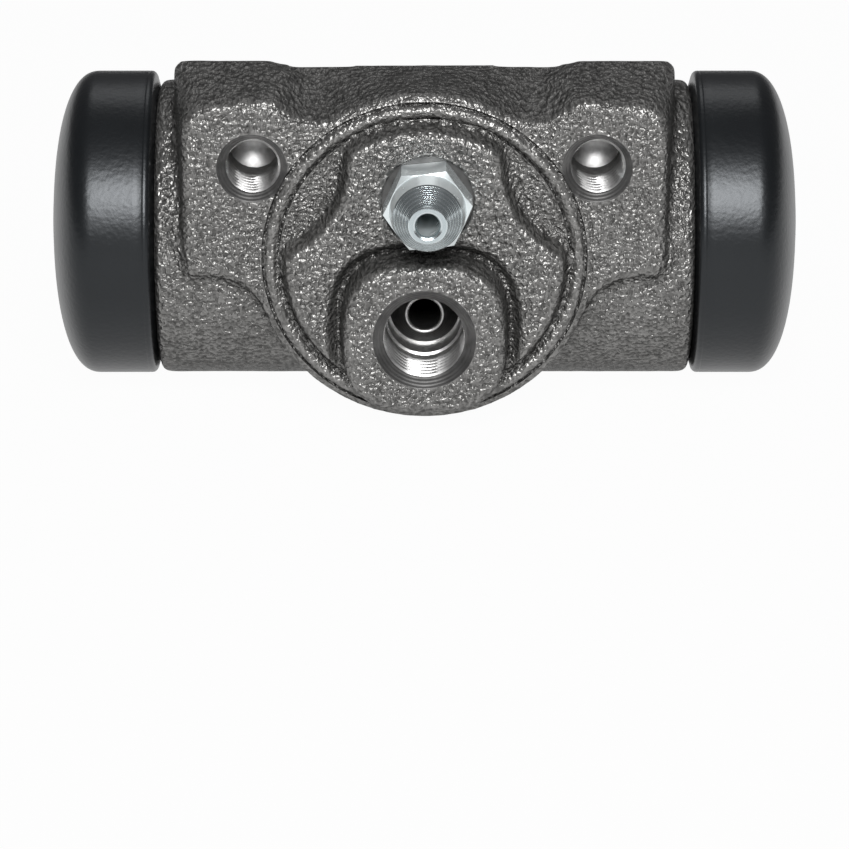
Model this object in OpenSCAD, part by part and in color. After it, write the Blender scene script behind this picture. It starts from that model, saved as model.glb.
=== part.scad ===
// Hydraulic wheel cylinder for a drum brake: cast body, two opposed pistons, two dust boots, bleed screw.
// Millimetres. X runs along the bore, -Y points out of the mounting face, +Z is up.
// The origin is midway between the two mounting holes, on the mounting face.

/* [Bore and barrel] */
// Bore diameter
bore_d = 25.4; // [19:0.1:28.6]
// Outside diameter of the cast barrel
barrel_d = 37.6; // [34:0.1:44]
// How far the cast barrel sits below the bore, for a thicker wall under the inlet
barrel_drop = 0.55; // [0:0.05:1]
// Length of the cast barrel, shoulder to shoulder
barrel_length = 67.8; // [62:0.2:90]
// Rounding of the barrel's end corners
barrel_round = 0.9; // [0.3:0.1:1.5]
// Diameter of the turned spigot that carries each boot
spigot_d = 32.6; // [30.4:0.1:33]
// Length of each spigot past the shoulder
spigot_length = 6.6; // [5:0.1:9]
// Width of the boot's groove beside the shoulder
boot_groove_width = 2.0; // [1.4:0.1:3]
// Depth of the boot's groove
boot_groove_depth = 1.0; // [0.6:0.1:1.4]
// Lead-in chamfer at the ends of the bore
bore_chamfer = 0.8; // [0.3:0.1:1.2]

/* [Mounting flange] */
// Bore axis to the mounting face
flange_face = 20.3; // [19:0.1:24]
// Distance between the mounting holes
bolt_spacing = 42.8; // [40:0.1:48]
// Mounting holes above the bore axis
bolt_rise = 13.45; // [12.6:0.05:16]
// Thread minor diameter of the mounting holes
bolt_hole_d = 6.5; // [5:0.1:7]
// Full depth of the mounting holes
bolt_hole_depth = 11; // [8:0.1:11.5]
// Mouth diameter of the mounting holes' countersink
bolt_mouth_d = 8.8; // [7.6:0.1:8.9]
// Depth of that countersink
bolt_mouth_depth = 0.5; // [0.3:0.1:0.5]
// Half the width across the two pads, at the face
pad_half = 30.2; // [28:0.1:33]
// Top of the pads above the bore axis, at the face
pad_top = 22.2; // [20:0.1:24]
// Bottom of the pads relative to the bore axis
pad_bottom = -1.0; // [-3:0.1:1]
// Front to back thickness of the flange block
flange_depth = 15.3; // [12:0.1:18]
// Widening of the block from face to back, on each side
flange_draft = 1.5; // [0.4:0.1:2.5]
// Rounding of the block's front edge
flange_round = 1.0; // [0.4:0.1:1]

/* [Pilot ring and platform] */
// Radius of the round part of the flange
disc_r = 21.3; // [21.3:0.1:23]
// Centre of the round part above the bore axis
disc_rise = 1.7; // [0:0.1:3]
// Radius of the raised ring's centre line
ring_r = 19.2; // [19.1:0.05:19.25]
// Radius of the ring's half-round section
ring_bead = 0.75; // [0.5:0.05:0.8]
// Platform height above the mounting face
platform_height = 3.2; // [1.5:0.1:4.5]
// Outer radius of the platform
platform_r = 17.3; // [16:0.1:17.4]
// Rounding of the platform's edge
platform_round = 0.7; // [0.3:0.1:1]
// Sideways distance from the middle to each side pocket's centre
pocket_x = 22.7; // [21.5:0.1:24]
// Height of each side pocket's centre above the bore axis
pocket_rise = 15.0; // [14:0.1:16]
// Radius of the side pockets
pocket_r = 13.2; // [12:0.1:14]

/* [Inlet port] */
// Inlet centre below the bore axis
inlet_drop = 6.9; // [5.5:0.1:8]
// Inlet boss height above the mounting face
inlet_height = 6.2; // [4.5:0.1:8]
// Half the width of the inlet boss
boss_half_width = 10.1; // [8.5:0.1:10.5]
// Half the height of the inlet boss
boss_half_height = 9.75; // [8.5:0.05:10]
// Squareness of the inlet boss: 2 is an ellipse
boss_power = 2.9; // [2:0.1:4]
// Rounding of the inlet boss's front edge
boss_round = 1.2; // [0.4:0.1:1.4]
// Width of the channel between the inlet boss and the platform
moat_width = 1.7; // [1.2:0.1:2.4]
// Thread minor diameter of the inlet
inlet_d = 9.9; // [8.4:0.1:10.4]
// Mouth diameter of the inlet's countersink
inlet_mouth_d = 12.9; // [11:0.1:13.6]
// Depth of the inlet, down to the foot of its flare seat
inlet_depth = 12; // [9:0.1:12]
// Height of the flare seat in the inlet
seat_height = 2.2; // [1:0.1:3]
// Plain length between the inlet's thread and the tip of its seat
seat_relief = 1.4; // [0.1:0.1:2]
// Fluid passage from the inlet seat to the bore
inlet_hole_d = 4.0; // [2:0.1:4]

/* [Bleed screw] */
// Bleed screw above the bore axis
bleed_rise = 10.2; // [9.5:0.1:10.6]
// Bleed screw to the side of the middle
bleed_side = 0.4; // [0:0.1:1]
// Width across the hexagon's flats
hex_flats = 9.6; // [9.5:0.01:9.75]
// Height of the hexagon
hex_height = 4.7; // [3:0.1:6]
// Turn of the hexagon as fitted
hex_turn = 6; // [0:1:30]
// Shank diameter of the bleed screw
shank_d = 6.8; // [6:0.1:7]
// Diameter of the hose bulb next to the hexagon
bulb_d = 9.5; // [8.8:0.1:9.5]
// Diameter of the bulb's front rim
bulb_rim_d = 8.6; // [7:0.1:8.7]
// Diameter of the tip
tip_d = 4.9; // [4.4:0.1:6]
// Length of the bulb
bulb_length = 2.6; // [1.6:0.1:3.4]
// Length of the cone in front of the bulb
cone_length = 2.5; // [1.6:0.1:3.4]
// Length of the tip
tip_length = 0.6; // [0.4:0.1:1]
// Drilled passage from the bleed screw's seat to the bore
bleed_drill_d = 2.4; // [1.6:0.1:3]
// Length of the plain lead behind the bleed screw's cone
bleed_lead = 1.2; // [0.6:0.1:2]
// Drilled hole in the bleed screw
bleed_hole_d = 2.9; // [1.6:0.1:3.2]
// Diameter of the spot face around the hexagon
spot_d = 11.5; // [11.3:0.1:12]
// Depth of the spot face
spot_depth = 0.7; // [0.3:0.1:1.2]

/* [Pistons, cups and spring] */
// Length of each piston
piston_length = 17; // [13:0.1:19]
// Running gap between each piston and the bore, per side
piston_clear = 0.05; // [0.02:0.01:0.1]
// Diameter of the push-rod socket in each piston
socket_d = 8.0; // [6:0.1:9]
// Depth of the push-rod socket
socket_depth = 8; // [5:0.1:11]
// Travel of each piston from the boot inwards
piston_travel = 8; // [4:0.1:10]
// Length of each rubber cup
cup_length = 7.4; // [6:0.1:9]
// Thickness of the cup's base
cup_base = 2.8; // [2:0.1:3.4]
// Thickness of the pressed cup expander
expander_t = 0.6; // [0.4:0.1:0.9]
// Wire diameter of the return spring
spring_wire = 1.3; // [0.8:0.1:1.6]
// Mean diameter of the return spring
spring_d = 13; // [11:0.1:14]
// Number of coils in the return spring
spring_coils = 8; // [5:1:10]

/* [Boots] */
// Outside diameter of each boot
boot_d = 38.8; // [37.6:0.1:44]
// How far each boot stands past the end of its spigot
boot_reach = 7.0; // [6.5:0.05:12]
// Axial length of the boot's domed end
dome_length = 5.9; // [4:0.1:8]
// Fullness of the dome: 2 is an ellipse
dome_power = 2.4; // [2:0.1:3]
// Thickness of the boot's end
boot_wall = 2.3; // [1.8:0.1:2.8]
// Rounding of the boot's open end
boot_round = 0.7; // [0.3:0.1:1]
// Push-rod hole in the boot
boot_hole_d = 9.6; // [9.2:0.1:12]

/* [Hidden] */
$fn = 64;
eps = 0.01;
skin_over = 0.05;
seat_clear = 0.05;
rest_gap = 0.3;
bore_r = bore_d / 2;
barrel_r = barrel_d / 2;
shoulder_x = barrel_length / 2;
spigot_r = spigot_d / 2;
spigot_end = shoulder_x + spigot_length;
groove_r = spigot_r - boot_groove_depth;
bolt_r = bolt_hole_d / 2;
bolt_mouth_r = bolt_mouth_d / 2;
drill_point = tan(31);
disc_c = [0, disc_rise];
platform_face = flange_face + platform_height;
inlet_face = flange_face + inlet_height;
inlet_c = [0, -inlet_drop];
inlet_r = inlet_d / 2;
inlet_mouth_r = inlet_mouth_d / 2;
boss_c = [0, -inlet_drop - 0.2];
seat_floor = inlet_face - inlet_depth;
thread_end = seat_floor + seat_height + seat_relief;
seat_pocket_r = inlet_r - 0.3;
boot_r = boot_d / 2;
boot_end = spigot_end + boot_reach;
overall_length = 2 * boot_end;
boot_bore_r = spigot_r + seat_clear;
boot_start = shoulder_x + seat_clear;
dome_x = boot_end - dome_length;
dome_in = dome_length - boot_wall;
piston_r = bore_r - piston_clear;
nose_r = piston_r - 1.4;
nose_x = dome_x + dome_in * pow(1 - pow(nose_r / boot_bore_r, dome_power), 1 / dome_power) - rest_gap;
piston_back = nose_x - piston_length;
cup_back = piston_back - seat_clear;
cup_floor = cup_back - cup_base;
expander_face = cup_floor - seat_clear - expander_t;
lip_r = bore_r - seat_clear;
lip_in = lip_r - 1.1;
floor_r = lip_r - 3.4;
spring_r = spring_d / 2;
spring_end = expander_face - spring_wire / 2 - seat_clear;
shank_r = shank_d / 2;
bleed_drill_r = bleed_drill_d / 2;
hex_back = platform_face - spot_depth + seat_clear;
hex_front = hex_back + hex_height;
bulb_front = hex_front + bulb_length;
tip_front = bulb_front + cone_length + tip_length;
bleed_seat = sqrt(pow(bore_r, 2) - pow(bleed_rise - bleed_drill_r - 0.2, 2)) + 2.6;

// Moves the bore frame to the mounting datum.
module place() {
  translate([0, flange_face, -bolt_rise]) children();
}

// Local z points out of the mounting face, local y is up.
module facing() {
  rotate([90, 0, 0]) children();
}

// Local z runs along the bore.
module along_bore() {
  rotate([0, 90, 0]) children();
}

function arc(c, r, a0, a1, n) =
  [for (k = [0 : n]) let (a = a0 + (a1 - a0) * k / n) c + r * [cos(a), sin(a)]];
function aim(a, b) = atan2(b[1] - a[1], b[0] - a[0]);
function after(a, b) = b < a ? b + 360 : b;
// The point at distance ra from a and rb from b, on the right of the line from a to b when side is 1.
function meet(a, ra, b, rb, side) =
  let (
    d = norm(b - a),
    u = (b - a) / d,
    m = (ra * ra - rb * rb + d * d) / (2 * d),
    h = sqrt(ra * ra - m * m)
  )
  a + m * u + side * h * [u[1], -u[0]];
function whole(half) =
  concat(half, [for (k = [len(half) - 2 : -1 : 1]) [-half[k][0], half[k][1]]]);

// Half outline of the flange block, clockwise from the top; t is 0 at the face and 1 at the back.
function flange_half(t, inset) =
  let (
    wide = pad_half + flange_draft * t,
    high = pad_top + 0.65 * flange_draft * t,
    low = pad_bottom - 0.5 * flange_draft * t,
    round_r = disc_r + 0.4 * flange_draft * t,
    crown_r = 1 / ((1 - t) / disc_r + t / 600),
    crown_top = (disc_rise + disc_r) * (1 - t) + (pad_top + 0.22) * t,
    crown_c = [0, crown_top - crown_r],
    dip = (pad_top - 2.7) * (1 - t) + (pad_top + 0.01) * t,
    dip_r = 6,
    shoulder_r = 3,
    dip_z = dip + dip_r,
    dip_c = [sqrt(pow(crown_r + dip_r, 2) - pow(dip_z - crown_c[1], 2)), dip_z],
    shoulder_z = high - shoulder_r,
    shoulder_c = [dip_c[0] + sqrt(pow(dip_r + shoulder_r, 2) - pow(dip_z - shoulder_z, 2)), shoulder_z],
    slope = 6 * (1 - t),
    lean = [sin(slope), cos(slope)],
    brow = shoulder_c + shoulder_r * lean,
    top_r = 3.6 * (1 - t) + 1.2 * t,
    top_x = wide - top_r,
    top_c = [top_x, brow[1] - (top_r + lean[0] * (top_x - brow[0])) / lean[1]],
    foot_r = 1.4,
    web_r = 7,
    web_z = low - web_r,
    web_c = [sqrt(pow(round_r + web_r, 2) - pow(web_z - disc_rise, 2)), web_z]
  )
  concat(
    arc(crown_c, crown_r - inset, 90, aim(crown_c, dip_c), 7),
    arc(dip_c, dip_r + inset, 180 + aim(crown_c, dip_c), 360 + aim(dip_c, shoulder_c), 6),
    arc(shoulder_c, shoulder_r - inset, aim(shoulder_c, dip_c), 90 - slope, 4),
    arc(top_c, top_r - inset, 90 - slope, 0, 6),
    arc([wide - foot_r, low + foot_r], foot_r - inset, 0, -90, 5),
    arc(web_c, web_r + inset, 90, aim(web_c, disc_c), 6),
    arc(disc_c, round_r - inset, aim(disc_c, web_c), -90, 12)
  );

// Half outline of the platform, clockwise from the top, with a pocket beside the mounting hole.
function platform_half(inset) =
  let (
    crest_r = 2.6,
    heel_r = 1.4,
    pocket_c = [pocket_x, pocket_rise],
    crest_c = meet(disc_c, platform_r - crest_r, pocket_c, pocket_r + crest_r, -1),
    heel_c = meet(disc_c, platform_r - heel_r, pocket_c, pocket_r + heel_r, 1)
  )
  concat(
    arc(disc_c, platform_r - inset, 90, aim(disc_c, crest_c), 5),
    arc(crest_c, crest_r - inset, aim(disc_c, crest_c), aim(crest_c, pocket_c), 5),
    arc(pocket_c, pocket_r + inset, 360 + aim(pocket_c, crest_c) - (aim(pocket_c, crest_c) > 0 ? 360 : 0),
        after(0, aim(pocket_c, heel_c)), 8),
    arc(heel_c, heel_r - inset, aim(heel_c, pocket_c), aim(disc_c, heel_c), 4),
    arc(disc_c, platform_r - inset, aim(disc_c, heel_c), -90, 14)
  );

// Half outline of the inlet boss, clockwise from the top: a square with well rounded corners.
function boss_half(grow) =
  let (
    n = 24,
    wide = boss_half_width + grow,
    high = boss_half_height + grow
  )
  [for (k = [0 : n]) let (a = 90 - 180 * k / n) boss_c + [
    wide * pow(abs(cos(a)), 2 / boss_power),
    high * sign(sin(a)) * pow(abs(sin(a)), 2 / boss_power)
  ]];

// Skins a stack of equal outlines, each given with its height, first the lowest.
module skin(outlines, heights) {
  n = len(outlines[0]);
  m = len(outlines);
  polyhedron(
    points = [for (k = [0 : m - 1]) for (p = outlines[k]) [p[0], p[1], heights[k]]],
    faces = concat(
      [[for (j = [n - 1 : -1 : 0]) j]],
      [[for (j = [0 : n - 1]) (m - 1) * n + j]],
      [for (k = [0 : m - 2]) for (j = [0 : n - 1])
        [k * n + j, k * n + (j + 1) % n, (k + 1) * n + (j + 1) % n]],
      [for (k = [0 : m - 2]) for (j = [0 : n - 1])
        [k * n + j, (k + 1) * n + (j + 1) % n, (k + 1) * n + j]]
    )
  );
}

// Cuts a skin off at height h, so that its end is one flat face.
module flat_at(h) {
  reach = overall_length;
  intersection() {
    children();
    translate([-reach, -reach, h - reach]) cube([2 * reach, 2 * reach, reach]);
  }
}

module flange_block() {
  slopes = [1, 0.66, 0.33, 0];
  edge = [25, 50, 75];
  straight = flange_depth - flange_round;
  outlines = concat(
    [for (t = slopes) whole(flange_half(t, 0))],
    [for (a = edge) whole(flange_half(0, flange_round * (1 - cos(a))))],
    [whole(flange_half(0, flange_round))]
  );
  heights = concat(
    [for (t = slopes) flange_face - flange_round - straight * t],
    [for (a = edge) flange_face - flange_round * (1 - sin(a))],
    [flange_face + skin_over]
  );
  flat_at(flange_face) skin(outlines, heights);
}

module platform() {
  edge = [25, 50, 75];
  rise = platform_height - platform_round;
  root = 0.4 * rise;
  buried = 2;
  flare = 0.4 + 0.3 * (root + buried) / root;
  outlines = concat(
    [whole(platform_half(-flare)), whole(platform_half(-0.4)), whole(platform_half(0))],
    [for (a = edge) whole(platform_half(platform_round * (1 - cos(a))))],
    [whole(platform_half(platform_round))]
  );
  heights = concat(
    [flange_face - buried, flange_face + root, flange_face + rise],
    [for (a = edge) flange_face + rise + platform_round * sin(a)],
    [platform_face + skin_over]
  );
  flat_at(platform_face) skin(outlines, heights);
}

// The channel round the inlet boss, wider at the top, with a rounded edge to the platform.
module moat() {
  edge = [75, 50, 25];
  rise = platform_height - platform_round;
  outlines = concat(
    [whole(boss_half(moat_width - 1)), whole(boss_half(moat_width - 0.7)), whole(boss_half(moat_width))],
    [for (a = edge) whole(boss_half(moat_width + platform_round * (1 - sin(a))))],
    [whole(boss_half(moat_width + platform_round)), whole(boss_half(moat_width + platform_round))]
  );
  heights = concat(
    [flange_face - 0.5, flange_face + 0.4 * rise, flange_face + rise],
    [for (a = edge) flange_face + rise + platform_round * cos(a)],
    [platform_face + skin_over, platform_face + 1]
  );
  skin(outlines, heights);
}

module barrel() {
  flat = shoulder_x - barrel_round;
  translate([0, 0, -barrel_drop]) along_bore() rotate_extrude() {
    translate([0, -flat]) square([barrel_r, 2 * flat]);
    translate([0, -shoulder_x]) square([barrel_r - barrel_round, 2 * shoulder_x]);
    for (s = [-1, 1]) translate([barrel_r - barrel_round, s * flat]) circle(barrel_round);
  }
  along_bore() cylinder(r = groove_r, h = 2 * spigot_end, center = true);
  for (s = [0, 1]) mirror([s, 0, 0]) along_bore() translate([0, 0, shoulder_x + boot_groove_width])
    cylinder(r = spigot_r, h = spigot_length - boot_groove_width);
}

module ring() {
  translate([disc_c[0], disc_c[1], flange_face]) rotate_extrude()
    translate([ring_r, 0]) circle(ring_bead);
}

module ring_groove() {
  translate([disc_c[0], disc_c[1], flange_face]) rotate_extrude()
    translate([ring_r + ring_bead, 0]) circle(0.2);
}

module inlet_boss() {
  edge = [25, 50, 75];
  outlines = concat(
    [whole(boss_half(0.6)), whole(boss_half(0.6)), whole(boss_half(0))],
    [for (a = edge) whole(boss_half(-boss_round * (1 - cos(a))))],
    [whole(boss_half(-boss_round))]
  );
  heights = concat(
    [flange_face - 8, flange_face - 1, inlet_face - boss_round],
    [for (a = edge) inlet_face - boss_round * (1 - sin(a))],
    [inlet_face + skin_over]
  );
  flat_at(inlet_face) skin(outlines, heights);
}

module bolt_hole() {
  deep = flange_face - bolt_hole_depth;
  translate([0, 0, deep]) cylinder(r = bolt_r, h = bolt_hole_depth + 1);
  translate([0, 0, deep - bolt_r * drill_point]) cylinder(r1 = 0, r2 = bolt_r, h = bolt_r * drill_point);
  translate([0, 0, flange_face - bolt_mouth_depth])
    cylinder(r1 = bolt_r, r2 = 2 * bolt_mouth_r - bolt_r, h = 2 * bolt_mouth_depth);
}

module inlet_port() {
  mouth = inlet_mouth_r - inlet_r;
  translate([inlet_c[0], inlet_c[1], 0]) {
    translate([0, 0, thread_end]) cylinder(r = inlet_r, h = inlet_face - thread_end + 1);
    difference() {
      translate([0, 0, seat_floor]) cylinder(r = seat_pocket_r, h = thread_end - seat_floor + eps);
      translate([0, 0, seat_floor - eps])
        cylinder(r1 = inlet_hole_d / 2 + 0.5 + seat_height, r2 = inlet_hole_d / 2 + 0.5, h = seat_height);
    }
    translate([0, 0, inlet_face - mouth]) cylinder(r1 = inlet_r, r2 = inlet_mouth_r + 1, h = mouth + 1);
    cylinder(r = inlet_hole_d / 2, h = inlet_face);
  }
}

module bleed_port() {
  hole_r = shank_r + seat_clear;
  translate([bleed_side, bleed_rise, 0]) {
    cylinder(r = bleed_drill_r, h = platform_face);
    translate([0, 0, bleed_seat]) cylinder(r1 = bleed_drill_r, r2 = hole_r, h = hole_r - bleed_drill_r);
    translate([0, 0, bleed_seat + hole_r - bleed_drill_r]) cylinder(r = hole_r, h = platform_face);
    translate([0, 0, platform_face - spot_depth]) cylinder(r = spot_d / 2, h = spot_depth + 12);
  }
}

module bore() {
  along_bore() cylinder(r = bore_r, h = 2 * spigot_end + 2, center = true);
  for (s = [0, 1]) mirror([s, 0, 0]) along_bore() translate([0, 0, spigot_end - bore_chamfer])
    cylinder(r1 = bore_r, r2 = bore_r + bore_chamfer + 1, h = bore_chamfer + 1);
}

module cylinder_body() {
  color([0.33, 0.32, 0.31]) place() difference() {
    union() {
      barrel();
      facing() {
        difference() {
          union() {
            flange_block();
            ring();
          }
          ring_groove();
        }
        difference() {
          platform();
          moat();
        }
        inlet_boss();
      }
    }
    bore();
    facing() {
      inlet_port();
      bleed_port();
      for (s = [-1, 1]) translate([s * bolt_spacing / 2, bolt_rise, 0]) bolt_hole();
    }
  }
}

module bleeder_screw() {
  seat_r = bleed_drill_r + 0.5;
  shank_end = bleed_seat + seat_r - bleed_drill_r + 2 * seat_clear;
  cone_h = shank_r - 0.2 - seat_r;
  point = hex_flats / 2 / cos(30);
  color([0.74, 0.78, 0.79]) place() facing() translate([bleed_side, bleed_rise, 0]) difference() {
    union() {
      translate([0, 0, shank_end]) cylinder(r1 = seat_r, r2 = shank_r - 0.2, h = cone_h);
      translate([0, 0, shank_end + cone_h]) cylinder(r = shank_r - 0.2, h = bleed_lead);
      translate([0, 0, shank_end + cone_h + bleed_lead])
        cylinder(r = shank_r, h = hex_back - shank_end - cone_h - bleed_lead);
      intersection() {
        translate([0, 0, hex_back]) rotate(hex_turn) cylinder(r = point, h = hex_height, $fn = 6);
        translate([0, 0, hex_back])
          cylinder(r1 = hex_flats / 2 + 1.7 * hex_height, r2 = hex_flats / 2, h = hex_height + 0.1);
      }
      translate([0, 0, hex_front - eps])
        cylinder(r1 = bulb_d / 2, r2 = bulb_rim_d / 2, h = bulb_length + eps);
      translate([0, 0, bulb_front - eps])
        cylinder(r1 = bulb_rim_d / 2, r2 = tip_d / 2, h = cone_length + eps);
      translate([0, 0, tip_front - tip_length - eps]) cylinder(r = tip_d / 2, h = tip_length + eps);
    }
    translate([0, 0, tip_front - 0.4])
      cylinder(r1 = bleed_hole_d / 2, r2 = bleed_hole_d / 2 + 0.6, h = 0.6);
    translate([0, 0, shank_end + cone_h + bleed_lead / 2]) {
      cylinder(r = bleed_hole_d / 2, h = tip_front);
      rotate([0, 90, 0]) cylinder(r = 0.9, h = 2 * shank_r + 2, center = true);
    }
  }
}

// The right-hand parts are drawn and the left-hand ones mirrored.
module piston() {
  lead = 1.4;
  along_bore() difference() {
    union() {
      translate([0, 0, piston_back]) cylinder(r1 = piston_r - 0.4, r2 = piston_r, h = 0.4);
      translate([0, 0, piston_back + 0.4]) cylinder(r = piston_r, h = piston_length - 0.4 - lead);
      translate([0, 0, nose_x - lead]) cylinder(r1 = piston_r, r2 = nose_r, h = lead);
    }
    translate([0, 0, nose_x - socket_depth]) cylinder(d = socket_d, h = socket_depth + 1);
    translate([0, 0, nose_x - socket_depth - 1.5]) cylinder(d1 = socket_d - 4, d2 = socket_d, h = 1.5);
    translate([0, 0, nose_x - 0.7]) cylinder(d1 = socket_d, d2 = socket_d + 3.4, h = 1.7);
  }
}

module piston_left() {
  color([0.66, 0.67, 0.68]) place() mirror([1, 0, 0]) piston();
}

module piston_right() {
  color([0.66, 0.67, 0.68]) place() piston();
}

module cup() {
  lip = cup_length - cup_base;
  along_bore() translate([0, 0, cup_back]) mirror([0, 0, 1]) rotate_extrude() polygon([
    [0, 0], [lip_r - 1, 0], [lip_r - 0.4, 0.5], [lip_r - 0.2, 1.2],
    [lip_r, cup_length - 0.6], [lip_r - 0.3, cup_length], [lip_in, cup_length],
    [lip_in - 0.4, cup_base + 0.7 * lip], [floor_r + 0.5, cup_base + 0.4], [floor_r, cup_base],
    [0, cup_base]
  ]);
}

module cup_left() {
  color([0.09, 0.09, 0.1]) place() mirror([1, 0, 0]) cup();
}

module cup_right() {
  color([0.09, 0.09, 0.1]) place() cup();
}

module expander() {
  rise = 2.2;
  rim = floor_r - 0.6;
  along_bore() translate([0, 0, cup_floor - seat_clear]) mirror([0, 0, 1]) rotate_extrude() polygon([
    [2.5, 0], [rim - 0.4, 0], [rim, 0.3], [rim + 0.9, rise], [rim + 0.9 - expander_t, rise],
    [rim - 0.1 - expander_t, expander_t], [2.5, expander_t]
  ]);
}

module cup_expander_left() {
  color([0.6, 0.6, 0.58]) place() mirror([1, 0, 0]) expander();
}

module cup_expander_right() {
  color([0.6, 0.6, 0.58]) place() expander();
}

// A round wire swept along a helix, with its end coils closed up.
module return_spring() {
  turn = 14;
  side = 6;
  steps = spring_coils * turn;
  flat = 0.9 * turn;
  reach = 2 * spring_end;
  lay = spring_wire * 1.02;
  function climb(k) =
    k < flat ? lay * k / turn
    : k > steps - flat ? reach - lay * (steps - k) / turn
    : lay * 0.9 + (reach - 1.8 * lay) * (k - flat) / (steps - 2 * flat);
  rings = [for (k = [0 : steps]) let (a = 360 * k / turn) [for (j = [0 : side - 1])
    let (b = 360 * j / side, r = spring_r + spring_wire / 2 * cos(b))
    [climb(k) - spring_end + spring_wire / 2 * sin(b), r * cos(a), r * sin(a)]]];
  color([0.5, 0.5, 0.48]) place() polyhedron(
    points = [for (ring_points = rings) for (p = ring_points) p],
    faces = concat(
      [[for (j = [side - 1 : -1 : 0]) j]],
      [[for (j = [0 : side - 1]) steps * side + j]],
      [for (k = [0 : steps - 1]) for (j = [0 : side - 1])
        [k * side + j, k * side + (j + 1) % side, (k + 1) * side + (j + 1) % side, (k + 1) * side + j]]
    )
  );
}

function dome_curve(x0, long, wide, from_r, n) =
  let (a0 = asin(pow(from_r / wide, dome_power / 2)))
  [for (k = [0 : n]) let (a = 90 + (a0 - 90) * k / n)
    [wide * pow(sin(a), 2 / dome_power), x0 + long * pow(cos(a), 2 / dome_power)]];

module boot() {
  hole_r = boot_hole_d / 2;
  bead_r = groove_r + seat_clear;
  bead_end = shoulder_x + boot_groove_width - seat_clear;
  outer = dome_curve(dome_x, dome_length, boot_r, hole_r + 0.9, 14);
  inner = dome_curve(dome_x, dome_in, boot_bore_r, hole_r + 1.0, 8);
  along_bore() rotate_extrude() polygon(concat(
    [[bead_r, boot_start], [boot_r - 2.0, boot_start]],
    [for (a = [10, 30, 50, 70, 90])
      [boot_r - boot_round * (1 - sin(a)), boot_start + 0.4 + boot_round * (1 - cos(a))]],
    outer,
    [[hole_r + 0.2, boot_end - 0.05], [hole_r, boot_end - 0.25], [hole_r, dome_x + dome_in]],
    [for (k = [len(inner) - 1 : -1 : 0]) inner[k]],
    [[boot_bore_r, bead_end + 0.1], [bead_r, bead_end]]
  ));
}

module boot_left() {
  color([0.06, 0.065, 0.07]) place() mirror([1, 0, 0]) boot();
}

module boot_right() {
  color([0.06, 0.065, 0.07]) place() boot();
}

cylinder_body();
bleeder_screw();
piston_left();
piston_right();
cup_left();
cup_right();
cup_expander_left();
cup_expander_right();
return_spring();
boot_left();
boot_right();
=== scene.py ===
import math
import bpy
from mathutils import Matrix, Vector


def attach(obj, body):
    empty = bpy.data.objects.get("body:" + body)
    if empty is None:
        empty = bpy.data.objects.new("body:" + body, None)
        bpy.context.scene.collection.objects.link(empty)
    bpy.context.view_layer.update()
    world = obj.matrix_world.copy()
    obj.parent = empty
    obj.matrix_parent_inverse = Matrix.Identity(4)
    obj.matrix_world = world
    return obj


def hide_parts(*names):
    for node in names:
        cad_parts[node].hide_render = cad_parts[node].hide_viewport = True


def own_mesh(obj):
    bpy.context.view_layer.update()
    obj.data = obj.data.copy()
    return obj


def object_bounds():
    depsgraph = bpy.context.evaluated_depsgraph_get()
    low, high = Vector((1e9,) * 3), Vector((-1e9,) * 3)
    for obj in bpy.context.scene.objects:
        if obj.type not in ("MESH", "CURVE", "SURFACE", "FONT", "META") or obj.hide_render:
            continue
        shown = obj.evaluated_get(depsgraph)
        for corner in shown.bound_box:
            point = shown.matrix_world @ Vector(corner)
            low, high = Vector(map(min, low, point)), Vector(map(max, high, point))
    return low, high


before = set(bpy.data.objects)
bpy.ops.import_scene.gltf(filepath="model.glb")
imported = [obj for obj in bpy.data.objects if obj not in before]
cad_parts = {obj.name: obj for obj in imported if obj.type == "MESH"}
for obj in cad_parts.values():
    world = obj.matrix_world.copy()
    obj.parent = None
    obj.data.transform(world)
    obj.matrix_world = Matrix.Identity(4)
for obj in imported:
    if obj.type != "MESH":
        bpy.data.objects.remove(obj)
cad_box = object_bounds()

# Casting: the one-piece grey iron body with its flange, ring, platform and inlet boss.
# Sand cast, so its skin is pebbled and every corner is soft; the bore, the spigots,
# the threads and the seats are then cut into it.
MM = 0.001
BORE_Y, BORE_Z = 20.3 * MM, -13.45 * MM
BORE_R, BORE_CHAMFER = 12.7 * MM, 0.8 * MM
SHOULDER_X, SPIGOT_END = 33.9 * MM, 40.5 * MM
SPIGOT_R, SPIGOT_CHAMFER = 16.3 * MM, 0.4 * MM
GROOVE_R, GROOVE_WIDTH = 15.3 * MM, 2.0 * MM
BOLT_X, BOLT_R, BOLT_MAJOR_R, BOLT_PITCH = 21.4 * MM, 3.25 * MM, 3.82 * MM, 1.06 * MM
BOLT_DEPTH, BOLT_MOUTH_R, DRILL_POINT = 11.0 * MM, 4.4 * MM, math.radians(31)
INLET_Z, INLET_FACE, INLET_R, INLET_MAJOR_R = -20.35 * MM, 6.2 * MM, 4.95 * MM, 5.5 * MM
INLET_PITCH, INLET_DEPTH, INLET_MOUTH_R = 1.06 * MM, 12.0 * MM, 6.45 * MM
SEAT_TIP_R, SEAT_FOOT_R, SEAT_HEIGHT = 2.5 * MM, 4.4 * MM, 2.2 * MM
INLET_HOLE_R, POCKET_R, THREAD_END = 2.0 * MM, 4.65 * MM, 8.4 * MM
BLEED_X, BLEED_Z, BLEED_HOLE_R = 0.4 * MM, -3.25 * MM, 3.45 * MM
SPOT_FACE, SPOT_R = 2.5 * MM, 5.75 * MM
BLEED_SEAT, BLEED_CONE, BLEED_DRILL_R = 8.5 * MM, 2.0 * MM, 1.2 * MM
RING_Z, RING_R, RING_BEAD, RING_GROOVE = -11.75 * MM, 19.2 * MM, 0.8 * MM, 0.32 * MM
GROOVE_GAP = 0.05 * MM
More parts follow.
